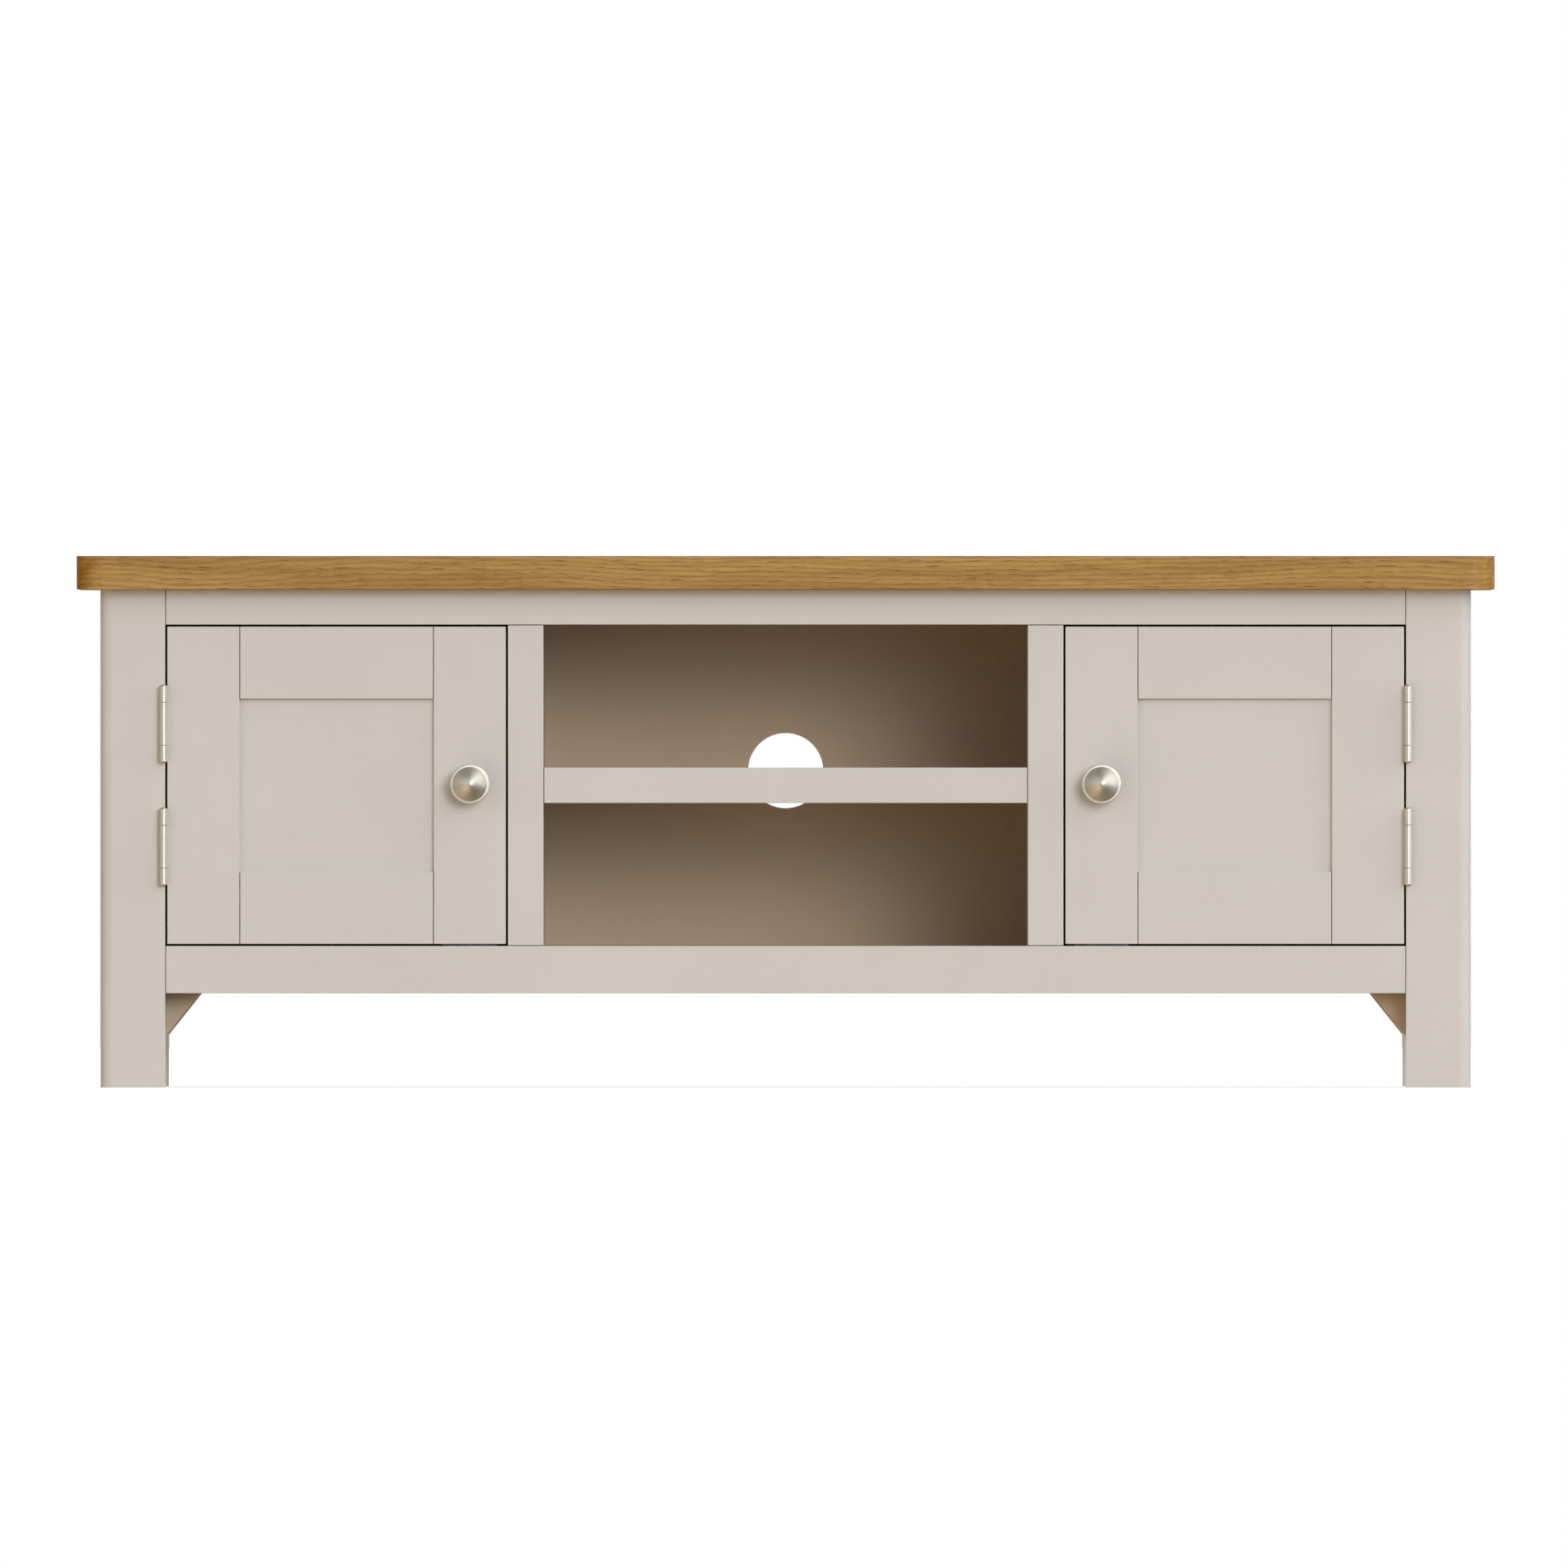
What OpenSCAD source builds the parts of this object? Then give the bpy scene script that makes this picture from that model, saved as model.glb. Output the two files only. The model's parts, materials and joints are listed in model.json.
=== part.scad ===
// Media cabinet: a painted frame under an oak top, with two framed doors
// and an open bay with one fixed shelf between them.
// The front faces -Y, left is -X as seen from the front, and the floor is z = 0.
// The origin is under the middle of the whole object, knobs included.

/* [Overall] */
// Width of the oak top
top_w = 1200; // [1150:10:1400]
// Depth of the oak top
top_d = 400; // [390:5:440]
// Thickness of the oak top
top_t = 28; // [24:1:35]
// Corner radius of the oak top in plan
top_r = 22; // [5:1:40]
// Height of the top face above the floor
total_h = 450; // [440:5:520]
// Overhang of the top past each side
side_overhang = 20; // [10:1:30]
// Overhang of the top past the front
front_overhang = 20; // [10:1:25]
// Depth of the painted cabinet
carcass_d = 370; // [350:5:380]

/* [Frame] */
// Width and depth of a leg
leg_w = 55; // [50:1:60]
// Radius of a leg's outer edge
leg_r = 10; // [3:1:15]
// Clear height under the bottom rails
foot_h = 80; // [70:5:120]
// Height of the top rails
top_rail_h = 30; // [28:1:40]
// Height of the bottom rails
bottom_rail_h = 40; // [36:1:60]
// Thickness of the rails, the divider stiles and the doors
frame_t = 20; // [18:1:22]
// Width of a divider stile
stile_w = 30; // [26:1:40]
// Width of the open centre bay
bay_w = 410; // [360:10:450]

/* [Panels] */
// Thickness of the base panel
base_t = 15; // [15:1:18]
// Thickness of the divider panels and the shelf board
board_t = 18; // [18:1:19]
// Thickness of the side panels
side_panel_t = 9; // [6:1:9]
// Thickness of the back panel
back_t = 5; // [4:0.5:6]
// Height of the shelf's front rail
shelf_rail_h = 30; // [24:1:36]
// Gap behind the shelf for cables
shelf_gap = 40; // [30:5:60]
// Diameter of the cable hole in the back panel
cable_d = 64; // [50:1:70]

/* [Doors] */
// Gap round each door
door_gap = 1.75; // [1.5:0.25:2]
// Width of the door stiles and rails
door_frame_w = 61; // [55:1:65]
// Thickness of the door panels
door_panel_t = 6; // [5:1:7]
// Depth from the doors' face to their panels
door_panel_in = 4.5; // [4:0.5:7]
// Length of a knob from the door's face to its tip
knob_len = 27; // [26:1:30]
// Diameter of a knob's rim
knob_d = 33.5; // [30:0.5:36]
// Height of the knobs above the middle of the doors
knob_up = 1; // [0:1:20]

/* [Hinges] */
// Height of a hinge, without its pin's heads
hinge_h = 64; // [60:1:70]
// Distance of each hinge from the middle of the door
hinge_spread = 52; // [45:1:60]
// Diameter of a hinge's barrel
barrel_d = 7.2; // [7:0.1:7.4]
// Diameter of a hinge pin
pin_d = 3.2; // [3:0.1:3.4]

/* [Hidden] */
$fn = 48;

PAINT = [0.79, 0.75, 0.71];
OAK = [0.68, 0.51, 0.30];
BEECH = [0.80, 0.66, 0.46];
NICKEL = [0.78, 0.76, 0.70];
ZINC = [0.70, 0.71, 0.72];
PLASTIC = [0.90, 0.89, 0.86];
LEFT = -1;
RIGHT = 1;
FRONT = -1;
REAR = 1;

// Planes of the cabinet, from the outside in.
x_out = top_w / 2 - side_overhang;
x_in = x_out - leg_w;
x_bay = bay_w / 2;
x_stile = x_bay + stile_w;
overall_d = top_d - front_overhang + knob_len;
y_face = knob_len - overall_d / 2;
y_back = y_face + carcass_d;
y_mid = (y_face + y_back) / 2;
y_front_rail = y_face + frame_t;
y_rear_rail = y_back - frame_t;
y_back_panel = y_rear_rail - back_t;
z_top = total_h - top_t;
z_rail = z_top - top_rail_h;
z_base = foot_h + bottom_rail_h;
z_base_under = z_base - base_t;

// Grooves and rebates. Cuts run past open faces by "over".
over = 1;
groove_d = 8;
groove_slack = 0.5;
back_groove_d = 6;
back_rebate_d = 5;
side_panel_inset = 7;
side_panel_x = x_out - side_panel_inset - side_panel_t;

// The shelf rail is centred in the bay, and the board is flush with its top.
shelf_mid = (z_base + z_rail) / 2;
shelf_top = shelf_mid + shelf_rail_h / 2;
shelf_back = y_back_panel - shelf_gap;

// The cable hole is centred in the back panel.
back_panel_z0 = z_base - back_rebate_d;
cable_z = (back_panel_z0 + z_top) / 2;

// Doors.
door_x0 = x_stile + door_gap;
door_x1 = x_in - door_gap;
door_z0 = z_base + door_gap;
door_z1 = z_rail - door_gap;
door_mid = (door_z0 + door_z1) / 2;
door_back = y_face + frame_t;
panel_y = y_face + door_panel_in;
knob_x = door_x0 + door_frame_w / 2;
knob_z = door_mid + knob_up;

// Hinges: the barrel stands just clear of the leg's front face, and both leaves are let in.
leaf_t = 1.5;
leaf_d = 18;
barrel_r = barrel_d / 2;
barrel_gap = 0.3;
hinge_x = x_in + 1.6;
hinge_y = y_face - barrel_r - barrel_gap;
hinge_zs = [door_mid - hinge_spread, door_mid + hinge_spread];
frame_leaf_x = x_in - 0.1;
door_leaf_x = door_x1 - 0.45;
centre_knuckle_h = 36;
knuckle_gap = 0.25;
pin_slack = 0.05;
pin_head_h = 1.2;
leaf_screw_y = y_face + 10;
leaf_screw_dz = [-24, 0, 24];
mortise_slack = 0.1;

// Corner brackets: triangles under the base panel, against the legs and level with their inner faces.
bracket_w = 49;
bracket_h = 61.5;
bracket_t = 20;
bracket_y = y_face + leg_w - bracket_t;

// Dowels: half of each lies in either piece of its joint.
dowel_r = 4;
dowel_l = 30;
dowel_chamfer = 1;
dowel_end_gap = 1;
fit_slack = 0.1;
rail_dowel_in = 10;
top_rail_dowel_in = 8;
side_dowel_zs = [foot_h + 8, foot_h + 24, z_top - 11];
board_dowel_in = 40;
base_dowel_z = z_base_under + 5.5;
base_dowel_xs = [-300, -60, 60, 300];

// Wood screws of the carcass.
screw_r = 2;
screw_head_r = 4;
screw_head_h = 2.5;
screw_l = 35;
screw_tip_r = 0.3;
head_room = 0.4;
top_screw_xs = [-380, -120, 120, 380];
top_screw_in = 8;
bracket_screw_l = 24;
bracket_screw_in = 5;

// Small screws for the leaves, catches and strike plates, and the machine screws of the knobs.
small_r = 1.5;
small_head_r = 3;
small_head_h = 1.5;
small_l = 14;
bolt_r = 2;
bolt_grip = 8;
bolt_head_r = 4;
bolt_head_h = 2;

// Magnetic catches stand on the base panel behind the knob stiles.
strike_w = 38;
strike_h = 14;
strike_t = 1;
strike_z = door_z0 + 1;
strike_screw_dx = 13;
catch_w = 46;
catch_d = 14;
catch_ear_h = 3;
catch_body_w = 25;
catch_body_h = 13;
catch_screw_dx = 18;
catch_x = knob_x;
catch_y = door_back + strike_t + 0.3;
magnet_w = 18;
magnet_d = 10;
magnet_h = 7;
magnet_z = z_base + 4;
pole_t = 1.5;

// ---- Helpers

// A box between its lowest corner a and its highest corner b.
module block(a, b) {
    translate(a) cube(b - a);
}

// Turns a child that points along +Z so that it points along the row axis v.
module aim(v) {
    rotate([v.y != 0 ? -90 * v.y : (v.z < 0 ? 180 : 0), 90 * v.x, 0]) children();
}

// Pieces are drawn on the right, and LEFT mirrors them.
module on_side(side) {
    if (side == LEFT) mirror([1, 0, 0]) children();
    else children();
}

// Legs and brackets are drawn at the front, and REAR mirrors them.
module on_end(end) {
    if (end == REAR) translate([0, 2 * y_mid, 0]) mirror([0, 1, 0]) children();
    else children();
}

// ---- Dowels: each is [centre of the joint, axis]

function cross_rail_dowels() = [
    for (x = [-x_in, x_in])
    for (y = [y_face + frame_t / 2, y_back - frame_t / 2])
    for (z = [
        foot_h + rail_dowel_in, z_base - rail_dowel_in,
        z_rail + top_rail_dowel_in, z_top - top_rail_dowel_in
    ])
        [[x, y, z], [1, 0, 0]]
];
function side_rail_dowels() = [
    for (s = [LEFT, RIGHT])
    for (y = [y_face + leg_w, y_back - leg_w])
    for (z = side_dowel_zs)
        [[s * (x_out - frame_t / 2), y, z], [0, 1, 0]]
];
function stile_dowels() = [
    for (s = [LEFT, RIGHT])
    for (z = [z_base, z_rail])
        [[s * (x_bay + stile_w / 2), y_face + frame_t / 2, z], [0, 0, 1]]
];
function shelf_rail_dowels() = [
    for (x = [-x_bay, x_bay])
        [[x, y_face + frame_t / 2, shelf_mid], [1, 0, 0]]
];
function shelf_board_dowels() = [
    for (x = [-x_bay, x_bay])
    for (y = [y_front_rail + board_dowel_in, shelf_back - board_dowel_in])
        [[x, y, shelf_top - board_t / 2], [1, 0, 0]]
];
function base_dowels() = [
    for (x = base_dowel_xs)
    for (y = [y_front_rail, y_rear_rail])
        [[x, y, base_dowel_z], [0, 1, 0]]
];

// A fluted dowel's plain stand-in, with chamfered ends.
module dowel() {
    half = dowel_l / 2;
    narrow = dowel_r - dowel_chamfer;
    straight = half - dowel_chamfer;
    rotate_extrude()
        polygon([
            [0, -half], [narrow, -half], [dowel_r, -straight],
            [dowel_r, straight], [narrow, half], [0, half]
        ]);
}

module dowel_bores(joints) {
    for (j = joints)
        translate(j[0]) aim(j[1])
            cylinder(r = dowel_r + fit_slack, h = dowel_l + 2 * dowel_end_gap, center = true);
}

// ---- Screws: each is [centre of the head's face, way the tip points, length,
// depth of the counterbore behind the head]

function top_screws() = [
    for (x = top_screw_xs)
    for (y = [y_face + frame_t / 2, y_back - frame_t / 2])
        [[x, y, z_rail + top_screw_in], [0, 0, 1], screw_l, top_screw_in + over]
];
function divider_screws() = [
    for (s = [LEFT, RIGHT])
    for (y = [y_front_rail + board_dowel_in, y_mid, y_back_panel - board_dowel_in])
        [[s * (x_bay + board_t / 2), y, z_base_under], [0, 0, 1], screw_l, over]
];
// The y of a line that lies this far inside the front brackets, and of its like in the rear ones.
function bracket_rows(inset) = [bracket_y + inset, 2 * y_mid - bracket_y - inset];
// A bracket's two screws lie side by side: one runs into the leg, one into the base panel.
function bracket_leg_screws() = [
    for (s = [LEFT, RIGHT])
    for (y = bracket_rows(bracket_screw_in))
        [[s * (x_in - 12), y, foot_h - 5], [s, 0, 0], screw_l, bracket_t]
];
function bracket_base_screws() = [
    for (s = [LEFT, RIGHT])
    for (y = bracket_rows(bracket_t - bracket_screw_in))
        [[s * (x_in - 20), y, z_base_under - 12], [0, 0, 1], bracket_screw_l, bracket_h / 2]
];

// A countersunk screw along +Z with a cross recess. A plain shank stands for its thread.
module countersunk(r_head, r_shank, h_head, len) {
    tip_h = 2 * r_shank;
    slot = [1.2 * r_head, 0.24 * r_head, 1.4 * h_head];
    difference() {
        union() {
            cylinder(r1 = r_head, r2 = r_shank, h = h_head);
            translate([0, 0, h_head]) cylinder(r = r_shank, h = len - h_head - tip_h);
            translate([0, 0, len - tip_h]) cylinder(r1 = r_shank, r2 = screw_tip_r, h = tip_h);
        }
        for (a = [0, 90]) rotate(a) cube(slot, center = true);
    }
}

// The hole for a countersunk screw, with a counterbore behind its head.
module countersunk_hole(r_head, r_shank, h_head, len, back) {
    translate([0, 0, -back]) cylinder(r = r_head + head_room, h = back);
    cylinder(r1 = r_head + fit_slack, r2 = r_shank + fit_slack, h = h_head);
    cylinder(r = r_shank + fit_slack, h = len + dowel_end_gap);
}

module screw_holes(screws) {
    for (s = screws)
        translate(s[0]) aim(s[1])
            countersunk_hole(screw_head_r, screw_r, screw_head_h, s[2], s[3]);
}

// Small screws: each is [centre of the head's face, way the tip points], on the right side.
function frame_leaf_screws() = [
    for (z = hinge_zs, dz = leaf_screw_dz) [[frame_leaf_x, leaf_screw_y, z + dz], [1, 0, 0]]
];
function door_leaf_screws() = [
    for (z = hinge_zs, dz = leaf_screw_dz)
        [[door_leaf_x + leaf_t, leaf_screw_y, z + dz], [-1, 0, 0]]
];
function catch_screws() = [
    for (dx = [-catch_screw_dx, catch_screw_dx])
        [[catch_x + dx, catch_y + catch_d / 2, z_base + catch_ear_h], [0, 0, -1]]
];
function strike_screws() = [
    for (dx = [-strike_screw_dx, strike_screw_dx])
        [[catch_x + dx, door_back + strike_t, strike_z + strike_h / 2], [0, -1, 0]]
];

module small_screws(screws) {
    for (s = screws)
        translate(s[0]) aim(s[1]) countersunk(small_head_r, small_r, small_head_h, small_l);
}

module small_holes(screws) {
    for (s = screws)
        translate(s[0]) aim(s[1])
            countersunk_hole(small_head_r, small_r, small_head_h, small_l, over);
}

// ---- Oak top

module oak_top() {
    color(OAK)
        difference() {
            translate([0, y_face - front_overhang, z_top])
                linear_extrude(top_t) {
                    translate([top_r - top_w / 2, 0]) square([top_w - 2 * top_r, top_d]);
                    translate([-top_w / 2, top_r]) square([top_w, top_d - 2 * top_r]);
                    for (x = [top_r - top_w / 2, top_w / 2 - top_r], y = [top_r, top_d - top_r])
                        translate([x, y]) circle(top_r);
                }
            screw_holes(top_screws());
        }
}

// ---- Legs

// A leg's section, with its outer edge rounded.
module leg_section() {
    square([leg_w - leg_r, leg_w]);
    translate([0, leg_r]) square([leg_w, leg_w - leg_r]);
    translate([leg_w - leg_r, leg_r]) circle(leg_r);
}

// A leg with the groove that takes the side panel.
module leg_blank(side, end) {
    on_side(side) on_end(end)
        difference() {
            translate([x_in, y_face, 0]) linear_extrude(z_top) leg_section();
            block(
                [side_panel_x, y_face + leg_w - groove_d - groove_slack, z_base - groove_d],
                [side_panel_x + side_panel_t, y_face + leg_w + over, z_rail + groove_d]
            );
        }
}

module leg_joint_bores() {
    dowel_bores(cross_rail_dowels());
    dowel_bores(side_rail_dowels());
    screw_holes(bracket_leg_screws());
}

module leg_front(side) {
    color(PAINT)
        difference() {
            leg_blank(side, FRONT);
            on_side(side) {
                for (z = hinge_zs)
                    block(
                        [x_in - over, y_face - over, z - hinge_h / 2 - mortise_slack],
                        [
                            frame_leaf_x + leaf_t,
                            y_face + leaf_d + mortise_slack,
                            z + hinge_h / 2 + mortise_slack
                        ]
                    );
                small_holes(frame_leaf_screws());
            }
            leg_joint_bores();
        }
}

module leg_rear(side) {
    color(PAINT)
        difference() {
            leg_blank(side, REAR);
            on_side(side)
                block(
                    [x_in - over, y_back_panel, back_panel_z0],
                    [x_in + back_groove_d + groove_slack, y_rear_rail, z_top + over]
                );
            leg_joint_bores();
        }
}

// ---- Rails and stiles of the carcass

// A rail from leg to leg between the heights z0 and z1, with its front at y0.
module cross_rail(y0, z0, z1) {
    color(PAINT)
        difference() {
            block([-x_in, y0, z0], [x_in, y0 + frame_t, z1]);
            dowel_bores(cross_rail_dowels());
            dowel_bores(stile_dowels());
            dowel_bores(base_dowels());
            screw_holes(top_screws());
        }
}

// A rail along a side, grooved for the side panel at the height z_groove.
module side_rail(side, z0, z1, z_groove) {
    color(PAINT)
        difference() {
            on_side(side)
                difference() {
                    block([x_out - frame_t, y_face + leg_w, z0], [x_out, y_back - leg_w, z1]);
                    block(
                        [side_panel_x, y_face + leg_w - over, z_groove - groove_d],
                        [side_panel_x + side_panel_t, y_back - leg_w + over, z_groove + groove_d]
                    );
                }
            dowel_bores(side_rail_dowels());
        }
}

module divider_stile(side) {
    color(PAINT)
        difference() {
            on_side(side) block([x_bay, y_face, z_base], [x_stile, y_front_rail, z_rail]);
            dowel_bores(stile_dowels());
            dowel_bores(shelf_rail_dowels());
        }
}

// ---- Panels and shelf

module side_panel(side) {
    color(PAINT)
        on_side(side)
            block(
                [side_panel_x, y_face + leg_w - groove_d, z_base - groove_d],
                [side_panel_x + side_panel_t, y_back - leg_w + groove_d, z_rail + groove_d]
            );
}

module divider_panel(side) {
    color(PAINT)
        difference() {
            on_side(side)
                block([x_bay, y_front_rail, z_base], [x_bay + board_t, y_back_panel, z_top]);
            dowel_bores(shelf_board_dowels());
            screw_holes(divider_screws());
        }
}

// The base panel is notched round the legs and rebated for the back panel.
module base_panel() {
    x_side = x_out - frame_t;
    color(PAINT)
        difference() {
            block([-x_side, y_front_rail, z_base_under], [x_side, y_rear_rail, z_base]);
            for (side = [LEFT, RIGHT])
                on_side(side) {
                    for (end = [FRONT, REAR])
                        on_end(end)
                            block(
                                [x_in, y_face, z_base_under - over],
                                [x_out, y_face + leg_w, z_base + over]
                            );
                    small_holes(catch_screws());
                }
            block(
                [-x_side - over, y_back_panel, back_panel_z0],
                [x_side + over, y_rear_rail + over, z_base + over]
            );
            dowel_bores(base_dowels());
            screw_holes(divider_screws());
            screw_holes(bracket_base_screws());
        }
}

module shelf_rail() {
    color(PAINT)
        difference() {
            block([-x_bay, y_face, shelf_top - shelf_rail_h], [x_bay, y_front_rail, shelf_top]);
            dowel_bores(shelf_rail_dowels());
        }
}

module shelf_board() {
    color(PAINT)
        difference() {
            block([-x_bay, y_front_rail, shelf_top - board_t], [x_bay, shelf_back, shelf_top]);
            dowel_bores(shelf_board_dowels());
        }
}

module back_panel() {
    x_edge = x_in + back_groove_d;
    color(PAINT)
        difference() {
            block([-x_edge, y_back_panel, back_panel_z0], [x_edge, y_rear_rail, z_top]);
            translate([0, y_back_panel - over, cable_z]) aim([0, 1, 0])
                cylinder(d = cable_d, h = back_t + 2 * over);
        }
}

module corner_bracket(side, end) {
    color(PAINT)
        difference() {
            on_side(side) on_end(end)
                translate([x_in, bracket_y + bracket_t, z_base_under]) rotate([90, 0, 0])
                    linear_extrude(bracket_t)
                        polygon([[0, 0], [-bracket_w, 0], [0, -bracket_h]]);
            screw_holes(bracket_leg_screws());
            screw_holes(bracket_base_screws());
        }
}

// ---- Hinges

// A leaf's plate, with its inner face at x, and a hinge's middle at the height z.
module leaf_plate(x, z) {
    block([x, y_face, z - hinge_h / 2], [x + leaf_t, y_face + leaf_d, z + hinge_h / 2]);
}

// The knuckle between two heights, with the web that joins it to the leaf at x.
module knuckle(x, z0, z1) {
    translate([hinge_x, hinge_y, z0]) cylinder(r = barrel_r, h = z1 - z0);
    block([x, hinge_y, z0], [x + leaf_t, y_face + over, z1]);
}

module pin_bore(z) {
    translate([hinge_x, hinge_y, z - hinge_h])
        cylinder(r = pin_d / 2 + pin_slack, h = 2 * hinge_h);
}

// The leaf on the leg has the two outer knuckles.
module frame_leaf(side, z) {
    inner = centre_knuckle_h / 2 + knuckle_gap;
    color(NICKEL)
        on_side(side)
            difference() {
                union() {
                    leaf_plate(frame_leaf_x, z);
                    knuckle(frame_leaf_x, z + inner, z + hinge_h / 2);
                    knuckle(frame_leaf_x, z - hinge_h / 2, z - inner);
                }
                pin_bore(z);
                small_holes(frame_leaf_screws());
            }
}

// The leaf on the door has the centre knuckle.
module door_leaf(side, z) {
    inner = centre_knuckle_h / 2;
    color(NICKEL)
        on_side(side)
            difference() {
                union() {
                    leaf_plate(door_leaf_x, z);
                    knuckle(door_leaf_x, z - inner, z + inner);
                }
                pin_bore(z);
                small_holes(door_leaf_screws());
            }
}

// A pin with a domed head that bears on each outer knuckle.
module hinge_pin() {
    half = hinge_h / 2;
    head_r = barrel_r - 0.5;
    head = [for (a = [0:15:90]) [head_r * cos(a), half + pin_head_h * sin(a)]];
    upper = concat([[pin_d / 2, 0], [pin_d / 2, half]], head);
    for (flip = [0, 1])
        mirror([0, 0, flip]) rotate_extrude() polygon(concat([[0, 0]], upper));
}

module hinge_pins() {
    color(NICKEL)
        for (x = [-hinge_x, hinge_x], z = hinge_zs)
            translate([x, hinge_y, z]) hinge_pin();
}

module frame_small_screws() {
    color(ZINC)
        for (side = [LEFT, RIGHT])
            on_side(side) {
                small_screws(frame_leaf_screws());
                small_screws(catch_screws());
            }
}

// ---- Magnetic catches

// A flat foot with a screw in each ear, under a body with a pocket for the magnet.
module catch_housing(side) {
    color(PLASTIC)
        on_side(side)
            difference() {
                union() {
                    block(
                        [catch_x - catch_w / 2, catch_y, z_base],
                        [catch_x + catch_w / 2, catch_y + catch_d, z_base + catch_ear_h]
                    );
                    block(
                        [catch_x - catch_body_w / 2, catch_y, z_base],
                        [catch_x + catch_body_w / 2, catch_y + catch_d, z_base + catch_body_h]
                    );
                }
                block(
                    [catch_x - magnet_w / 2, catch_y - over, magnet_z],
                    [catch_x + magnet_w / 2, catch_y + magnet_d, magnet_z + magnet_h]
                );
                small_holes(catch_screws());
            }
}

// A magnet set back between two pole plates, in each housing's pocket.
module catch_magnets() {
    x0 = catch_x - magnet_w / 2;
    x1 = catch_x + magnet_w / 2;
    y1 = catch_y + magnet_d;
    color(ZINC)
        for (side = [LEFT, RIGHT])
            on_side(side) {
                block(
                    [x0, catch_y + 1, magnet_z + pole_t],
                    [x1, y1, magnet_z + magnet_h - pole_t]
                );
                for (z = [magnet_z, magnet_z + magnet_h - pole_t])
                    block([x0, catch_y, z], [x1, y1, z + pole_t]);
            }
}

module strike_plate(side) {
    color(ZINC)
        on_side(side)
            difference() {
                block(
                    [catch_x - strike_w / 2, door_back, strike_z],
                    [catch_x + strike_w / 2, door_back + strike_t, strike_z + strike_h]
                );
                small_holes(strike_screws());
            }
}

// ---- Doors: stiles and rails grooved for a flat panel, with stub tenons on the rails

// A stile with its outer edge at x0 and its groove at x_groove.
module door_stile(x0, x_groove) {
    difference() {
        block([x0, y_face, door_z0], [x0 + door_frame_w, door_back, door_z1]);
        block(
            [x_groove - groove_d - groove_slack, panel_y, door_z0 - over],
            [x_groove + groove_d + groove_slack, panel_y + door_panel_t, door_z1 + over]
        );
    }
}

module door_hinge_stile(side) {
    x0 = door_x1 - door_frame_w;
    color(PAINT)
        on_side(side)
            difference() {
                door_stile(x0, x0);
                for (z = hinge_zs)
                    block(
                        [door_leaf_x, y_face - over, z - hinge_h / 2 - mortise_slack],
                        [
                            door_x1 + over,
                            y_face + leaf_d + mortise_slack,
                            z + hinge_h / 2 + mortise_slack
                        ]
                    );
                small_holes(door_leaf_screws());
            }
}

module door_knob_stile(side) {
    color(PAINT)
        on_side(side)
            difference() {
                door_stile(door_x0, door_x0 + door_frame_w);
                translate([knob_x, y_face - over, knob_z]) aim([0, 1, 0])
                    cylinder(r = bolt_r + fit_slack, h = frame_t + 2 * over);
                small_holes(strike_screws());
            }
}

// A door rail that starts at the height z0, grooved at the height z_groove.
module door_rail(side, z0, z_groove) {
    x0 = door_x0 + door_frame_w;
    x1 = door_x1 - door_frame_w;
    z1 = z0 + door_frame_w;
    color(PAINT)
        on_side(side)
            difference() {
                union() {
                    block([x0, y_face, z0], [x1, door_back, z1]);
                    block(
                        [x0 - groove_d, panel_y, z0],
                        [x1 + groove_d, panel_y + door_panel_t, z1]
                    );
                }
                block(
                    [x0 - groove_d - over, panel_y, z_groove - groove_d - groove_slack],
                    [
                        x1 + groove_d + over,
                        panel_y + door_panel_t,
                        z_groove + groove_d + groove_slack
                    ]
                );
            }
}

module door_top_rail(side) {
    z0 = door_z1 - door_frame_w;
    door_rail(side, z0, z0);
}

module door_bottom_rail(side) {
    door_rail(side, door_z0, door_z0 + door_frame_w);
}

module door_panel(side) {
    inset = door_frame_w - groove_d;
    color(PAINT)
        on_side(side)
            block(
                [door_x0 + inset, panel_y, door_z0 + inset],
                [door_x1 - inset, panel_y + door_panel_t, door_z1 - inset]
            );
}

// A knob: a foot, a waisted stem, a rim and a softly pointed dome set in from the rim.
module knob(side) {
    foot_r = 9.5;
    waist_r = 6;
    rim_r = knob_d / 2;
    rim_z = 15;
    rim_h = 1.8;
    dome_r = rim_r - 2.5;
    dome_z = rim_z + rim_h + 1;
    flare_h = 4.5;
    stem_z = rim_z - flare_h;
    stem = [
        for (t = [0:0.125:1]) [waist_r + (foot_r - waist_r) * pow(2 * t - 1, 2), 1.5 + t * (stem_z - 1.5)]
    ];
    flare = [
        for (a = [0:15:90]) [foot_r + (rim_r - foot_r) * sin(a), rim_z - flare_h * cos(a)]
    ];
    dome = [for (t = [1:-0.1:0]) [dome_r * t, knob_len - (knob_len - dome_z) * pow(t, 1.5)]];
    profile = concat(
        [[0, 0], [foot_r, 0]],
        stem,
        flare,
        [[rim_r, rim_z + rim_h - 0.6], [rim_r - 0.6, rim_z + rim_h], [dome_r, rim_z + rim_h]],
        dome
    );
    color(NICKEL)
        on_side(side)
            translate([knob_x, y_face, knob_z]) aim([0, -1, 0])
                difference() {
                    rotate_extrude() polygon(profile);
                    translate([0, 0, -over])
                        cylinder(r = bolt_r + fit_slack, h = bolt_grip + 2 * over);
                }
}

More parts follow.
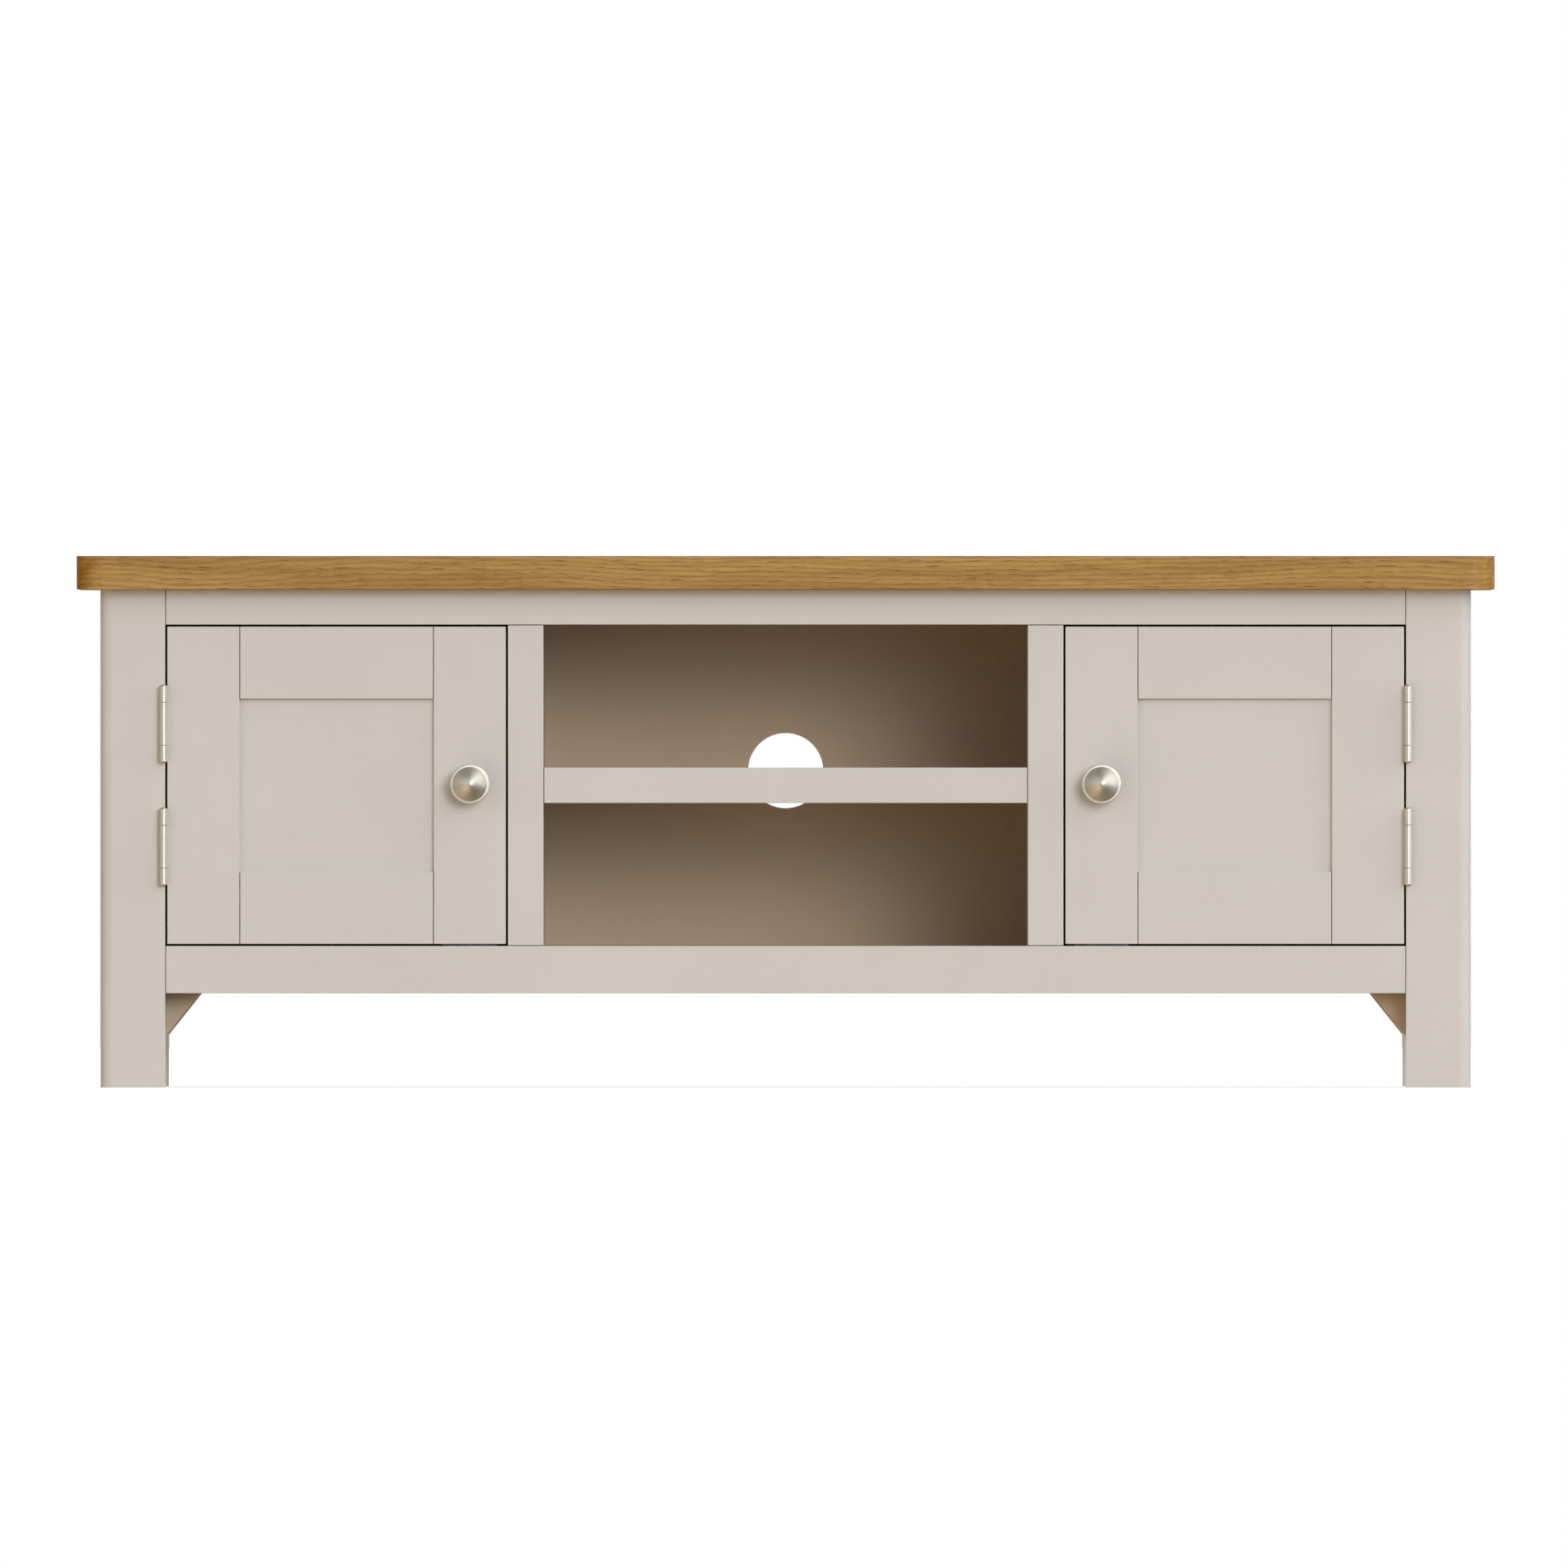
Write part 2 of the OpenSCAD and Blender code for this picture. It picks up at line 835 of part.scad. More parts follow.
// The machine screw that holds a knob, from inside the door.
module knob_screw(side) {
    slot = [1.2 * bolt_head_r, 0.24 * bolt_head_r, bolt_head_h];
    color(ZINC)
        on_side(side)
            translate([knob_x, door_back, knob_z]) aim([0, -1, 0])
                difference() {
                    union() {
                        cylinder(r = bolt_r, h = frame_t + bolt_grip);
                        translate([0, 0, -bolt_head_h]) cylinder(r = bolt_head_r, h = bolt_head_h);
                    }
                    for (a = [0, 90])
                        translate([0, 0, -bolt_head_h]) rotate(a) cube(slot, center = true);
                }
}

module door_small_screws(side) {
    color(ZINC)
        on_side(side) {
            small_screws(door_leaf_screws());
            small_screws(strike_screws());
        }
}

// ---- Hidden fasteners of the carcass

module carcass_screws() {
    screws = concat(top_screws(), divider_screws(), bracket_leg_screws(), bracket_base_screws());
    color(ZINC)
        for (s = screws)
            translate(s[0]) aim(s[1]) countersunk(screw_head_r, screw_r, screw_head_h, s[2]);
}

module dowels() {
    joints = concat(
        cross_rail_dowels(), side_rail_dowels(), stile_dowels(),
        shelf_rail_dowels(), shelf_board_dowels(), base_dowels()
    );
    color(BEECH)
        for (j = joints) translate(j[0]) aim(j[1]) dowel();
}

oak_top();
leg_front(LEFT);  // leg_front_left
leg_front(RIGHT);  // leg_front_right
leg_rear(LEFT);  // leg_rear_left
leg_rear(RIGHT);  // leg_rear_right
cross_rail(y_face, z_rail, z_top);  // front_top_rail
cross_rail(y_face, foot_h, z_base);  // front_bottom_rail
cross_rail(y_rear_rail, z_rail, z_top);  // rear_top_rail
cross_rail(y_rear_rail, foot_h, z_base);  // rear_bottom_rail
side_rail(LEFT, z_rail, z_top, z_rail);  // side_top_rail_left
side_rail(RIGHT, z_rail, z_top, z_rail);  // side_top_rail_right
side_rail(LEFT, foot_h, z_base, z_base);  // side_bottom_rail_left
side_rail(RIGHT, foot_h, z_base, z_base);  // side_bottom_rail_right
side_panel(LEFT);  // side_panel_left
side_panel(RIGHT);  // side_panel_right
divider_stile(LEFT);  // divider_stile_left
divider_stile(RIGHT);  // divider_stile_right
divider_panel(LEFT);  // divider_panel_left
divider_panel(RIGHT);  // divider_panel_right
base_panel();
shelf_rail();
shelf_board();
back_panel();
corner_bracket(LEFT, FRONT);  // corner_bracket_front_left
corner_bracket(RIGHT, FRONT);  // corner_bracket_front_right
corner_bracket(LEFT, REAR);  // corner_bracket_rear_left
corner_bracket(RIGHT, REAR);  // corner_bracket_rear_right
frame_leaf(LEFT, hinge_zs[1]);  // frame_leaf_left_upper
frame_leaf(LEFT, hinge_zs[0]);  // frame_leaf_left_lower
frame_leaf(RIGHT, hinge_zs[1]);  // frame_leaf_right_upper
frame_leaf(RIGHT, hinge_zs[0]);  // frame_leaf_right_lower
hinge_pins();
frame_small_screws();
catch_housing(LEFT);  // catch_housing_left
catch_housing(RIGHT);  // catch_housing_right
catch_magnets();
carcass_screws();
dowels();
door_hinge_stile(LEFT);  // door_left_hinge_stile
door_knob_stile(LEFT);  // door_left_knob_stile
door_top_rail(LEFT);  // door_left_top_rail
door_bottom_rail(LEFT);  // door_left_bottom_rail
door_panel(LEFT);  // door_left_panel
door_leaf(LEFT, hinge_zs[1]);  // door_left_leaf_upper
door_leaf(LEFT, hinge_zs[0]);  // door_left_leaf_lower
knob(LEFT);  // door_left_knob
knob_screw(LEFT);  // door_left_knob_screw
strike_plate(LEFT);  // door_left_strike_plate
door_small_screws(LEFT);  // door_left_small_screws
door_hinge_stile(RIGHT);  // door_right_hinge_stile
door_knob_stile(RIGHT);  // door_right_knob_stile
door_top_rail(RIGHT);  // door_right_top_rail
door_bottom_rail(RIGHT);  // door_right_bottom_rail
door_panel(RIGHT);  // door_right_panel
door_leaf(RIGHT, hinge_zs[1]);  // door_right_leaf_upper
door_leaf(RIGHT, hinge_zs[0]);  // door_right_leaf_lower
knob(RIGHT);  // door_right_knob
knob_screw(RIGHT);  // door_right_knob_screw
strike_plate(RIGHT);  // door_right_strike_plate
door_small_screws(RIGHT);  // door_right_small_screws
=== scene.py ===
"""The looks of the media cabinet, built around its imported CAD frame. Lengths are in metres."""
import json
import math

import bmesh
import bpy
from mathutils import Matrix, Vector

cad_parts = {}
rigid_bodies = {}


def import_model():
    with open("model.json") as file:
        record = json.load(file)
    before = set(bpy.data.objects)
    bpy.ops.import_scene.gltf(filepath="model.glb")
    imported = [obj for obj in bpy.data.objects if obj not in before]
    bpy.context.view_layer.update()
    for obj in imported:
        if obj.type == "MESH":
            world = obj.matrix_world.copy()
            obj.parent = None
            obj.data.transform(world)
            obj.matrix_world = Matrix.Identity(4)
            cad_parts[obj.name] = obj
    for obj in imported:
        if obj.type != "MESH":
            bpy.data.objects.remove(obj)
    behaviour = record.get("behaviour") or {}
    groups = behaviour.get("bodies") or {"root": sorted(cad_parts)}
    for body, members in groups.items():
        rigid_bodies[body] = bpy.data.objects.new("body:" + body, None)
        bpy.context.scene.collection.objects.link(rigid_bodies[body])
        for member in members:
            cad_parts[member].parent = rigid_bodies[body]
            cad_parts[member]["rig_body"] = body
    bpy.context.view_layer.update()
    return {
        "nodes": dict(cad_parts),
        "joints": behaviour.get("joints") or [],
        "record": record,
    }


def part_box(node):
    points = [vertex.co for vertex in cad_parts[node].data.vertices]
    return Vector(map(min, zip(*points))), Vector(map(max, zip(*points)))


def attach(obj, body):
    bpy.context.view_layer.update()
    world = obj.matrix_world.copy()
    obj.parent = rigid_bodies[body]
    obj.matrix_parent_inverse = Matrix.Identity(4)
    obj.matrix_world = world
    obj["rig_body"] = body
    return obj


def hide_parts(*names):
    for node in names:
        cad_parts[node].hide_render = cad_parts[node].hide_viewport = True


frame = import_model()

MM = 0.001
X, Z = 0, 2

# How near two vertices are to be one, and how near a plane one is to lie on it.
WELD = 1e-6
ON_PLANE = 2e-5

# Edges sharper than the first angle look sharp. Faces that meet at less than the second are made one.
SMOOTH_ANGLE = math.radians(40)
FLAT_ANGLE = math.radians(0.5)

# The radius of eased edges on boards, on panels, brackets and hinge leaves, and on the oak top.
EASE = 0.5 * MM
FINE_EASE = 0.35 * MM
SLAB_EASE = 1.1 * MM

# The groove that shows where two boards meet on the front.
JOINT_WIDTH = 0.8 * MM
JOINT_DEPTH = 4.0 * MM

# Sizes that the CAD sets: the top's corner radius, the door rails' tenons and the hinges' barrels.
SLAB_CORNER = 22 * MM
TENON = 8 * MM
BARREL_R = 3.6 * MM

# The oak: how far in front of Y = 0 the first stave starts, stave width and ring spacing.
STAVE_START = 0.2270
STAVE_WIDTH = 0.0667
RING_SPACING = 4.2 * MM

PAINT = (0.598, 0.540, 0.476)
# Browner paint for the back panel's faces toward the bays: painted shade, standing in for the warm shade
# inside the bays.
BAY_SHADE_PAINT = (0.680, 0.492, 0.305)
# Darker brown paint for the corner brackets: painted shade, standing in for the shade they sit in under
# the rails.
BRACKET_SHADE_PAINT = (0.500, 0.370, 0.240)
NICKEL = (0.62, 0.57, 0.465)
ZINC = (0.62, 0.63, 0.64)

SIDES = ("left", "right")
BODY_OF = {n: o["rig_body"] for n, o in frame["nodes"].items()}
SLOT_OF = {s["node"]: s["material_slot"] for s in frame["record"]["subparts"]}
HINGES = {j["child"]: Vector(j["pos_m"]) for j in frame["joints"]}


# ---- Shader helpers

def new_material(name):
    """A material with an empty node tree."""
    material = bpy.data.materials.new(name)
    material.use_nodes = True
    material.node_tree.nodes.clear()
    return material


def add(tree, kind, inputs=None, **settings):
    """A shader node with its settings and inputs. An input is a value or another node's output."""
    made = tree.nodes.new("ShaderNode" + kind)
    for key, value in settings.items():
        setattr(made, key, value)
    for key, value in (inputs or {}).items():
        if isinstance(value, bpy.types.NodeSocket):
            tree.links.new(value, made.inputs[key])
        else:
            made.inputs[key].default_value = value
    return made


def calc(tree, operation, *values, clamp=False):
    """The result of a Math node."""
    made = add(tree, "Math", dict(enumerate(values)), operation=operation, use_clamp=clamp)
    return made.outputs[0]


def remap(tree, value, from_low, from_high, to_low=0.0, to_high=1.0, smooth=True):
    """value carried from one range to another and held inside it."""
    made = add(
        tree,
        "MapRange",
        {"Value": value, "From Min": from_low, "From Max": from_high, "To Min": to_low, "To Max": to_high},
        interpolation_type="SMOOTHSTEP" if smooth else "LINEAR",
    )
    return made.outputs["Result"]


def stretched(tree, point, scale, offset=(0, 0, 0)):
    """point scaled along each axis and then moved."""
    made = add(tree, "Mapping", {"Vector": point, "Scale": scale, "Location": offset})
    return made.outputs["Vector"]


def noise(tree, point, scale, detail=2.0, roughness=0.5, distortion=0.0):
    """Smooth noise from 0 to 1."""
    made = add(
        tree,
        "TexNoise",
        {
            "Vector": point,
            "Scale": scale,
            "Detail": detail,
            "Roughness": roughness,
            "Distortion": distortion,
        },
    )
    return made.outputs["Fac"]


def mix_rgb(tree, factor, low, high, mode="MIX"):
    """Two colours mixed by factor, through the colour sockets of a Mix node."""
    made = tree.nodes.new("ShaderNodeMix")
    made.data_type = "RGBA"
    made.blend_type = mode
    for index, value in ((0, factor), (6, low), (7, high)):
        if isinstance(value, bpy.types.NodeSocket):
            tree.links.new(value, made.inputs[index])
        else:
            made.inputs[index].default_value = value
    return made.outputs[2]


def bumps(tree, layers):
    """A normal with relief: each layer is (height, distance in metres)."""
    normal = None
    for height, distance in layers:
        inputs = {"Strength": 1.0, "Distance": distance, "Height": height}
        if normal is not None:
            inputs["Normal"] = normal
        normal = add(tree, "Bump", inputs).outputs["Normal"]
    return normal


def surface(tree, inputs):
    """A Principled shader wired to the output."""
    shader = add(tree, "BsdfPrincipled", inputs)
    add(tree, "OutputMaterial", {"Surface": shader.outputs["BSDF"]})


def rgba(red, green, blue):
    """An opaque color."""
    return (red, green, blue, 1.0)


def toned(tree, color, amount, share, toward):
    """color carried toward another one, by amount (0 to 1) times share."""
    return mix_rgb(tree, calc(tree, "MULTIPLY", amount, share), color, toward)


# ---- Materials

def painted(name, grain, front=PAINT, back=None):
    """Satin paint over wood whose grain runs along X, Y or Z.

    back is the color of the faces turned to +Y, where it isn't the same as the rest.
    """
    material = new_material(name)
    tree = material.node_tree
    coords = add(tree, "TexCoord")
    point = coords.outputs["Object"]
    base = rgba(*front)
    if back:
        facing = add(tree, "SeparateXYZ", {"Vector": coords.outputs["Normal"]}).outputs["Y"]
        base = mix_rgb(tree, remap(tree, facing, -0.1, 0.1), base, rgba(*back))
    fine = [1600.0, 1600.0, 1600.0]
    fine["XYZ".index(grain)] = 28.0
    strokes = noise(tree, stretched(tree, point, fine), 1.0, detail=3.0)
    peel = noise(tree, point, 900.0, detail=1.0)
    soft = noise(tree, point, 9.0, detail=3.0, roughness=0.6)
    arris = add(tree, "Attribute", attribute_name="arris").outputs["Fac"]
    tone = remap(tree, soft, 0.3, 0.7, 0.985, 1.01)
    rubbed = calc(tree, "MULTIPLY_ADD", arris, 0.04, tone)
    color = mix_rgb(tree, 1.0, base, rubbed, mode="MULTIPLY")
    rough = calc(tree, "MULTIPLY_ADD", remap(tree, soft, 0.3, 0.7), 0.07, 0.40)
    surface(tree, {
        "Base Color": color,
        "Roughness": calc(tree, "MULTIPLY_ADD", arris, -0.08, rough),
        "Specular IOR Level": 0.4,
        "Normal": bumps(tree, [(strokes, 0.04 * MM), (peel, 0.03 * MM)]),
    })
    return material


class Stave:
    """The place of a point in the oak: which stave it's in, and where in that stave's own wood."""

    def __init__(self, tree, point):
        self.tree = tree
        split = add(tree, "SeparateXYZ", {"Vector": point})
        self.x, self.y, self.z = (split.outputs[k] for k in "XYZ")
        across = calc(tree, "DIVIDE", calc(tree, "ADD", self.y, STAVE_START), STAVE_WIDTH)
        number = calc(tree, "FLOOR", across)
        self.across = calc(tree, "FRACT", across)
        draw = add(tree, "TexWhiteNoise", {"W": number}, noise_dimensions="1D")
        self.lots = add(tree, "SeparateColor", {"Color": draw.outputs["Color"]}).outputs
        # Staves are far apart along the wood's X, so that no two share a figure.
        self.along = calc(tree, "MULTIPLY_ADD", number, 3.7, self.x)
        self.wood = self.point_at(self.z)

    def point_at(self, height):
        """A point in the stave's own wood, at a height of choice."""
        parts = {"X": self.along, "Y": self.y, "Z": height}
        return add(self.tree, "CombineXYZ", parts).outputs["Vector"]

    def grain(self, scale_x, scale_yz, detail=2.0, roughness=0.5):
        """Noise drawn out along the stave."""
        scaled = stretched(self.tree, self.wood, (scale_x, scale_yz, scale_yz))
        return noise(self.tree, scaled, 1.0, detail, roughness)


def growth_rings(tree, stave):
    """Early and late wood of rings round a heart below the board, swaying along it."""
    from_middle = calc(tree, "SUBTRACT", stave.across, stave.lots["Red"])
    aside = calc(tree, "MULTIPLY", from_middle, STAVE_WIDTH)
    heart = calc(tree, "MULTIPLY_ADD", stave.lots["Green"], 0.05, -0.40)
    above = calc(tree, "ADD", stave.z, heart)
    squares = [calc(tree, "MULTIPLY", distance, distance) for distance in (aside, above)]
    reach = calc(tree, "SQRT", calc(tree, "ADD", *squares))
    quick_sway = calc(tree, "MULTIPLY", stave.grain(16, 60, 3), 0.004)
    sway = calc(tree, "MULTIPLY_ADD", stave.grain(2.6, 7.0), 0.046, quick_sway)
    ring = calc(tree, "FRACT", calc(tree, "DIVIDE", calc(tree, "ADD", reach, sway), RING_SPACING))
    early = remap(tree, ring, 0.0, 0.45, 1.0, 0.0)
    late = remap(tree, ring, 0.45, 0.95)
    return early, late


def oak_pores(tree, stave, early, end_grain):
    """Fine long pores, most of them in early wood and few on end grain."""
    pores = calc(tree, "MULTIPLY_ADD", early, 0.085, stave.grain(60, 2300, 2, 0.55))
    less = calc(tree, "MULTIPLY_ADD", end_grain, -0.75, 1.0)
    return calc(tree, "MULTIPLY", remap(tree, pores, 0.620, 0.740), less)


def wavy_streaks(tree, stave):
    """Light and dark streaks that wander up and down along the stave."""
    waves = calc(tree, "MULTIPLY_ADD", stave.grain(6, 16), 0.028, stave.z)
    scaled = stretched(tree, stave.point_at(waves), (3.6, 105.0, 105.0))
    return noise(tree, scaled, 1.0, 4.0, 0.62)


def ray_flecks(tree, stave):
    """Small pale flecks of the wood's rays."""
    flecks = noise(tree, stretched(tree, stave.wood, (70.0, 260.0, 700.0)), 1.0, detail=1.0)
    return remap(tree, flecks, 0.66, 0.74)


def oak():
    """Lacquered oak, glued up from staves along X: growth rings, pores, ray flecks and end grain."""
    material = new_material("oak_lacquered")
    tree = material.node_tree
    coords = add(tree, "TexCoord")
    stave = Stave(tree, coords.outputs["Object"])
    facing = add(tree, "SeparateXYZ", {"Vector": coords.outputs["Normal"]}).outputs["X"]
    end_grain = remap(tree, calc(tree, "ABSOLUTE", facing), 0.1, 0.95)
    early, late = growth_rings(tree, stave)
    pore = oak_pores(tree, stave, early, end_grain)
    fibre = stave.grain(26, 1000, 4, 0.65)
    cloud = stave.grain(2.2, 26, 3)

    light = rgba(0.445, 0.242, 0.064)
    middle = rgba(0.355, 0.175, 0.038)
    dark = rgba(0.195, 0.078, 0.015)
    deep = rgba(0.090, 0.035, 0.010)
    color = mix_rgb(tree, remap(tree, wavy_streaks(tree, stave), 0.36, 0.62), middle, light)
    color = toned(tree, color, remap(tree, cloud, 0.45, 0.75), 0.22, dark)
    color = toned(tree, color, late, 0.40, dark)
    color = toned(tree, color, remap(tree, fibre, 0.50, 0.74), 0.50, dark)
    color = toned(tree, color, ray_flecks(tree, stave), 0.18, light)
    color = toned(tree, color, pore, 0.68, deep)

    # Hairline glue joints, a tone for each stave, and browner end grain; the extra darkening toward the
    # left end is painted shade.
    off_centre = calc(tree, "ABSOLUTE", calc(tree, "SUBTRACT", stave.across, 0.5))
    seam = remap(tree, off_centre, 0.4965, 0.4995)
    color = toned(tree, color, seam, 0.5, dark)
    tone = calc(tree, "MULTIPLY_ADD", stave.lots["Blue"], 0.20, 0.94)
    color = mix_rgb(tree, 1.0, color, tone, mode="MULTIPLY")
    # End grain is darker, and a ramp along X darkens it more at the left end than the right: painted shade
    # of light from the right.
    end_grain_and_left_shade = calc(tree, "MULTIPLY", end_grain, remap(tree, stave.x, -0.3, 0.3, 1.0, 0.15))
    color = mix_rgb(tree, end_grain_and_left_shade, color, rgba(0.82, 0.70, 0.44), mode="MULTIPLY")

    smooth = calc(tree, "MULTIPLY_ADD", fibre, 0.12, 0.40)
    surface(tree, {
        "Base Color": color,
        "Roughness": calc(tree, "MULTIPLY_ADD", pore, 0.18, smooth),
        "Specular IOR Level": calc(tree, "MULTIPLY_ADD", end_grain, -0.18, 0.22),
        "Coat Weight": calc(tree, "MULTIPLY_ADD", end_grain, -0.06, 0.06),
        "Coat Roughness": 0.30,
        "Normal": bumps(tree, [
            (fibre, 0.10 * MM),
            (calc(tree, "SUBTRACT", 1.0, pore), 0.20 * MM),
            (calc(tree, "SUBTRACT", 1.0, seam), 0.12 * MM),
        ]),
    })
    return material


def metal(name, color, roughness, brushing):
    """Plated metal brushed in fine lines, closest together along the axis with the highest scale."""
    material = new_material(name)
    tree = material.node_tree
    point = add(tree, "TexCoord").outputs["Object"]
    lines = noise(tree, stretched(tree, point, brushing), 1.0, detail=3.0, roughness=0.6)
    cloud = noise(tree, point, 120.0, detail=3.0)
    tone = calc(tree, "MULTIPLY_ADD", lines, 0.10, 0.95)
    patchy = calc(tree, "MULTIPLY_ADD", cloud, 0.08, roughness - 0.12)
    surface(tree, {
        "Base Color": mix_rgb(tree, 1.0, rgba(*color), tone, mode="MULTIPLY"),
        "Metallic": 1.0,
        "Roughness": calc(tree, "MULTIPLY_ADD", lines, 0.16, patchy),
        "Normal": bumps(tree, [(lines, 0.012 * MM), (cloud, 0.010 * MM)]),
    })
    return material


def turned_nickel():
    """Satin nickel with the fine rings of a lathe round the piece's own Y axis."""
    material = new_material("nickel_turned")
    tree = material.node_tree
    point = add(tree, "TexCoord").outputs["Object"]
    split = add(tree, "SeparateXYZ", {"Vector": point})
    squares = [calc(tree, "MULTIPLY", split.outputs[k], split.outputs[k]) for k in "XZ"]
    radius = calc(tree, "SQRT", calc(tree, "ADD", *squares))
    rings_at = add(tree, "CombineXYZ", {"X": radius, "Y": split.outputs["Y"]}).outputs["Vector"]
    rings = noise(tree, rings_at, 5200.0, detail=2.0, roughness=0.6)
    cloud = noise(tree, point, 160.0, detail=3.0)
    tone = calc(tree, "MULTIPLY_ADD", rings, 0.08, 0.96)
    patchy = calc(tree, "MULTIPLY_ADD", cloud, 0.08, 0.36)
    surface(tree, {
        "Base Color": mix_rgb(tree, 1.0, rgba(*NICKEL), tone, mode="MULTIPLY"),
        "Metallic": 0.88,
        "Roughness": calc(tree, "MULTIPLY_ADD", rings, 0.12, patchy),
        "Normal": bumps(tree, [(rings, 0.010 * MM), (cloud, 0.010 * MM)]),
    })
    return material


def beech():
    """Bare beech for the dowels: pale, with short brown flecks."""
    material = new_material("beech_bare")
    tree = material.node_tree
    point = add(tree, "TexCoord").outputs["Object"]
    drawn_out = stretched(tree, point, (300.0, 1200.0, 1200.0))
    flecks = remap(tree, noise(tree, drawn_out, 1.0), 0.58, 0.7)
    cloud = noise(tree, point, 90.0, detail=3.0)
    base = mix_rgb(tree, cloud, rgba(0.60, 0.40, 0.22), rgba(0.52, 0.33, 0.17))
    surface(tree, {
        "Base Color": toned(tree, base, flecks, 0.5, rgba(0.30, 0.15, 0.06)),
        "Roughness": calc(tree, "MULTIPLY_ADD", cloud, 0.2, 0.5),
        "Normal": bumps(tree, [(flecks, 0.05 * MM)]),
    })
    return material


def moulded_plastic():
    """Off-white moulded plastic with a fine spark-eroded texture."""
    material = new_material("plastic_moulded")
    tree = material.node_tree
    point = add(tree, "TexCoord").outputs["Object"]
    grain = noise(tree, point, 2600.0, detail=2.0)
    cloud = noise(tree, point, 70.0, detail=3.0)
    surface(tree, {
        "Base Color": mix_rgb(tree, cloud, rgba(0.80, 0.79, 0.75), rgba(0.74, 0.73, 0.69)),
        "Roughness": calc(tree, "MULTIPLY_ADD", grain, 0.2, 0.42),
        "Normal": bumps(tree, [(grain, 0.04 * MM)]),
    })
    return material


def floor_finish():
    """A pale matt studio floor that is open from below, so that the underside can be looked at."""
    material = new_material("studio_floor")
    tree = material.node_tree
    point = add(tree, "TexCoord").outputs["Object"]
    cloud = noise(tree, point, 1.5, detail=4.0)
    top = add(tree, "BsdfPrincipled", {
        "Base Color": mix_rgb(tree, cloud, rgba(0.80, 0.79, 0.77), rgba(0.77, 0.76, 0.74)),
        "Roughness": calc(tree, "MULTIPLY_ADD", cloud, 0.1, 0.7),
    })
    under = add(tree, "BsdfTransparent")
    from_below = add(tree, "NewGeometry").outputs["Backfacing"]
    mixed = add(tree, "MixShader", {0: from_below, 1: top.outputs[0], 2: under.outputs[0]})
    add(tree, "OutputMaterial", {"Surface": mixed.outputs[0]})
    return material


MATERIALS = {
    "paint_x": painted("paint_along_x", "X"),
    "paint_y": painted("paint_along_y", "Y"),
    "paint_z": painted("paint_along_z", "Z"),
    # The back panel: painted shade (browner paint) on its faces toward the bays, and the plain paint on
    # its rear face.
    "paint_back": painted("paint_back_panel", "X", BAY_SHADE_PAINT, back=PAINT),
    # The brackets' darker paint is painted shade.
    "paint_brackets_shaded": painted("paint_brackets_shaded", "X", BRACKET_SHADE_PAINT),
    "oak": oak(),
    "nickel": metal("nickel_satin", NICKEL, 0.42, (3600.0, 3600.0, 500.0)),
    "nickel_turned": turned_nickel(),
    "zinc_steel": metal("zinc_bright", ZINC, 0.34, (900.0, 900.0, 900.0)),
    "beech": beech(),
    "catch_plastic": moulded_plastic(),
    "floor": floor_finish(),
}


# ---- Mesh helpers

def finish_piece(name, mesh, material, body, nodes, origin=None):
    """Links a mesh as a piece that rides on a body and stands for CAD nodes."""
    mesh.materials.clear()
    mesh.materials.append(MATERIALS[material])
    piece = bpy.data.objects.new(name, mesh)
    bpy.context.scene.collection.objects.link(piece)
    if origin is not None:
        piece.location = origin
    weighted = piece.modifiers.new("even_normals", "WEIGHTED_NORMAL")
    weighted.keep_sharp = True
    weighted.weight = 100
    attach(piece, body)
    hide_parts(*nodes)


def shade(bm):
    """Smooth faces, with edges sharper than SMOOTH_ANGLE kept sharp."""
    for face in bm.faces:
        face.smooth = True
    for edge in bm.edges:
        if edge.is_manifold:
            edge.smooth = edge.calc_face_angle() < SMOOTH_ANGLE


def cad_copy(node):
    """A clean copy of a CAD node's mesh: welded, with flat faces made whole."""
    bm = bmesh.new()
    bm.from_mesh(frame["nodes"][node].data)
    bmesh.ops.remove_doubles(bm, verts=bm.verts, dist=WELD)
    bmesh.ops.dissolve_limit(bm, angle_limit=FLAT_ANGLE, verts=bm.verts, edges=bm.edges)
    return bm


def on(value, plane):
    """Whether a coordinate lies on a plane."""
    return abs(value - plane) < ON_PLANE


def planes_shared(edge, low, high):
    """How many of a block's six planes hold both ends of an edge."""
    a, b = (v.co for v in edge.verts)
    return sum(
        on(a[axis], plane) and on(b[axis], plane)
        for axis in range(3)
        for plane in (low[axis], high[axis])
    )


def clean(bm):
    """Welds vertices that lie on each other and removes edges and faces that have no size."""
    bmesh.ops.remove_doubles(bm, verts=bm.verts, dist=WELD)
    bmesh.ops.dissolve_degenerate(bm, dist=WELD, edges=bm.edges)


def finish_copy(bm, node, ending, material):
    """Makes a piece that stands for a CAD node out of a worked copy of its mesh."""
    clean(bm)
    shade(bm)
    mesh = bpy.data.meshes.new(node + ending)
    bm.to_mesh(mesh)
    bm.free()
    finish_piece(node + ending, mesh, material, BODY_OF[node], [node])


def slope_ends(bm, low, high, axis):
    """Slopes the front of a board's two ends back, so that its joints show as fine dark grooves."""
    everything = bm.verts[:] + bm.edges[:] + bm.faces[:]
    cut_at = (0, low.y + JOINT_DEPTH, 0)
    bmesh.ops.bisect_plane(bm, geom=everything, plane_co=cut_at, plane_no=(0, 1, 0))
    clean(bm)
    for v in bm.verts:
        if not on(v.co.y, low.y):
            continue
        if on(v.co[axis], low[axis]):
            v.co[axis] += JOINT_WIDTH
        elif on(v.co[axis], high[axis]):
            v.co[axis] -= JOINT_WIDTH


